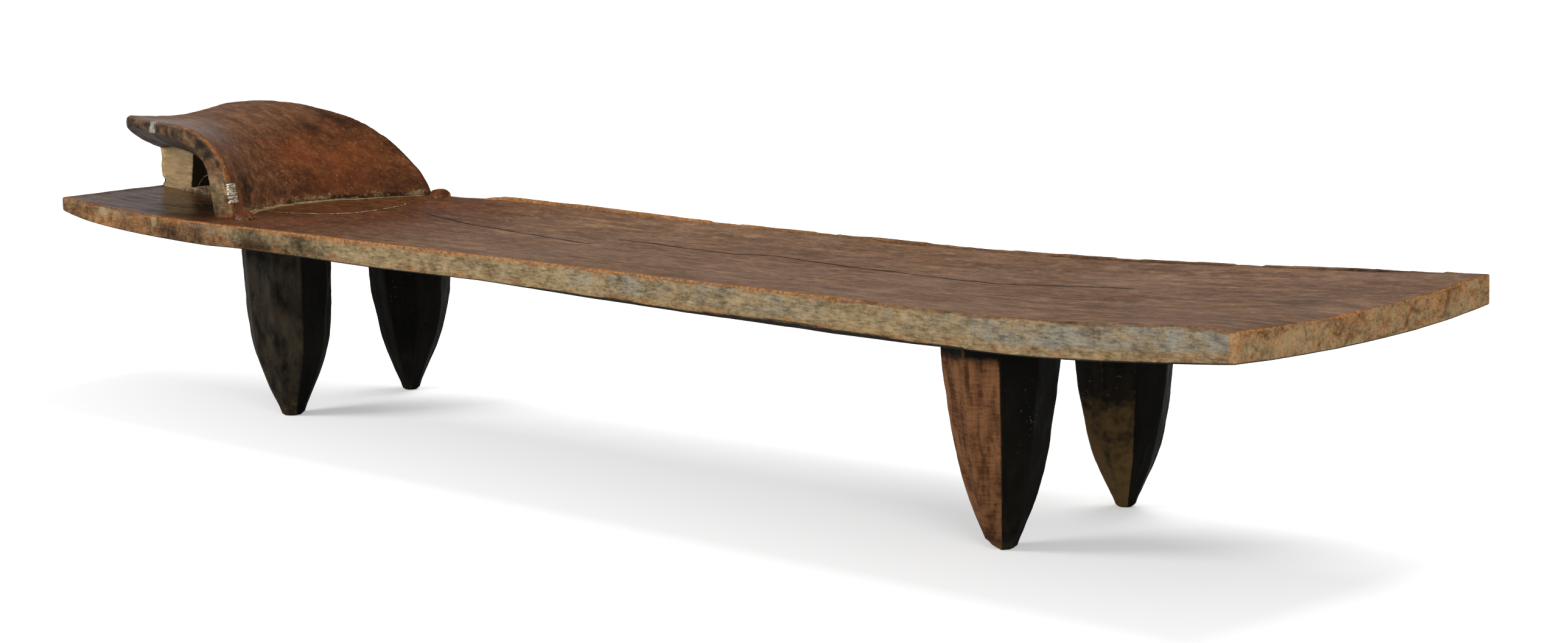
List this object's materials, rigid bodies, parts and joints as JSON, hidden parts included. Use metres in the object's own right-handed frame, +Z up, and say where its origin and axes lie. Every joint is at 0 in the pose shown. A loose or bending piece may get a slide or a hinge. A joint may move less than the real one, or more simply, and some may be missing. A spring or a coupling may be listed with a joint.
{
  "type": "daybed",
  "caption": "Long low wooden daybed carved from one log: dished plank, curled headrest, raised back rim and tapering adzed legs.",
  "frame": {"origin": "on the floor, under the middle of the bounding box of the whole bed", "axes": "+X from the head end to the foot end, +Y from the front edge to the rimmed back edge, +Z up"},
  "size_m": [2.15, 0.434, 0.408],
  "materials": {
    "worn_wood": "hand-polished dark brown wood, worn through to orange at its edges and weathered grey along its front",
    "raw_wood": "unpolished, pale and dusty, with dark specks",
    "dark_wood": "smoke-darkened, adzed in long flat faces, half gloss",
    "wire": "dull iron wire, rubbed bright on its high spots",
    "filler": "dry grey wooden plug, unpolished"
  },
  "bodies": {
    "root": {"deck": "worn_wood", "back_rim": "worn_wood", "headrest": "worn_wood", "front_root_lug": "worn_wood", "back_root_lug": "worn_wood", "headrest_post": "raw_wood", "hollow_sill": "raw_wood", "leg_head_front": "dark_wood", "leg_head_back": "dark_wood", "leg_foot_front": "dark_wood", "leg_foot_back": "dark_wood", "repair_stitches": "wire", "lip_plug": "filler"}
  },
  "joints": []
}
